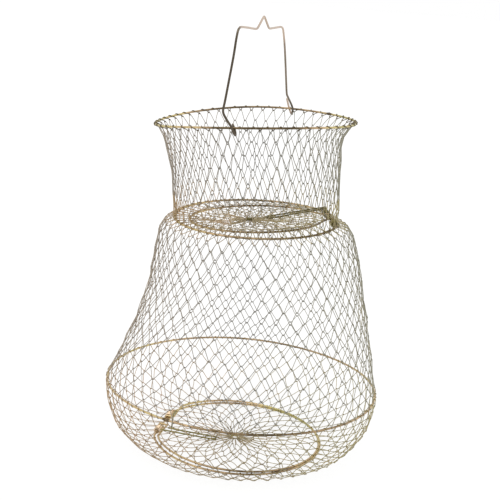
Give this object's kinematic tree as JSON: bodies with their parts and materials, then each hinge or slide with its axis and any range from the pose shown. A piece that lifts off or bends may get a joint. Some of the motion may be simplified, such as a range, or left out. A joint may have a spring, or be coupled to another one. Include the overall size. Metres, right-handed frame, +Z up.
{
  "type": "wire fish basket",
  "caption": "Collapsible wire fish basket: flared net collar over a wide net body and bowl on spring-wire rings, sprung trap doors at neck and bottom, bent wire bail.",
  "frame": {"origin": "on the floor, under the centre of the base ring", "axes": "+X towards the top door's hinge, +Z up out of the collar's mouth, -Y towards the bail's open hook"},
  "size_m": [0.33, 0.33, 0.5131],
  "materials": {
    "ring_wire": "brass-plated spring wire, satin",
    "net_wire": "thin plated steel wire, dull brass-grey",
    "spring_wire": "plated spring wire, olive-brass",
    "bail_wire": "plated spring wire, copper-brown, satin"
  },
  "bodies": {
    "base": {"base_ring": "ring_wire", "bowl_net_low": "net_wire", "bowl_net_high": "net_wire"},
    "belly": {"belly_ring": "ring_wire", "body_net": "net_wire"},
    "neck": {"neck_ring": "ring_wire", "neck_skirt_net": "net_wire", "collar_net": "net_wire"},
    "rim": {"rim_ring": "ring_wire"},
    "bail": {"bail_handle": "bail_wire"},
    "top_door": {"top_door_ring": "ring_wire", "top_door_net": "net_wire", "top_door_eyelet": "spring_wire", "top_door_spring": "spring_wire"},
    "bottom_door": {"bottom_door_ring": "ring_wire", "bottom_door_net": "net_wire", "bottom_door_eyelet": "spring_wire", "bottom_door_spring": "spring_wire"}
  },
  "joints": [
    {"name": "bowl_fold", "type": "slide", "parent": "base", "child": "belly", "axis": [0, 0, 1], "range_m": [-0.062, 0], "deforming": ["bowl_net_low", "bowl_net_high"]},
    {"name": "body_fold", "type": "slide", "parent": "belly", "child": "neck", "axis": [0, 0, 1], "range_m": [-0.172, 0], "deforming": ["body_net"]},
    {"name": "collar_fold", "type": "slide", "parent": "neck", "child": "rim", "axis": [-0.0523, 0, 0.9986], "range_m": [-0.094, 0], "deforming": ["collar_net"]},
    {"name": "bail_hinge", "type": "hinge", "parent": "rim", "child": "bail", "pos_m": [-0.02816, -0.11303, 0.39914], "axis": [0.2729, 0.962, 0.0035], "range_deg": [-50, 50]},
    {"name": "top_door_hinge", "type": "hinge", "parent": "neck", "child": "top_door", "pos_m": [0.08925, 0.01235, 0.28396], "axis": [0.1398, -0.9901, -0.0139], "range_deg": [0, 85], "stiffness_Nm_per_rad": 0.03, "springref_deg": -85.94},
    {"name": "bottom_door_hinge", "type": "hinge", "parent": "base", "child": "bottom_door", "pos_m": [-0.09284, 0.01973, 0.00441], "axis": [-0.2079, -0.9781, 0], "range_deg": [0, 85], "stiffness_Nm_per_rad": 0.03, "springref_deg": -57.3}
  ]
}
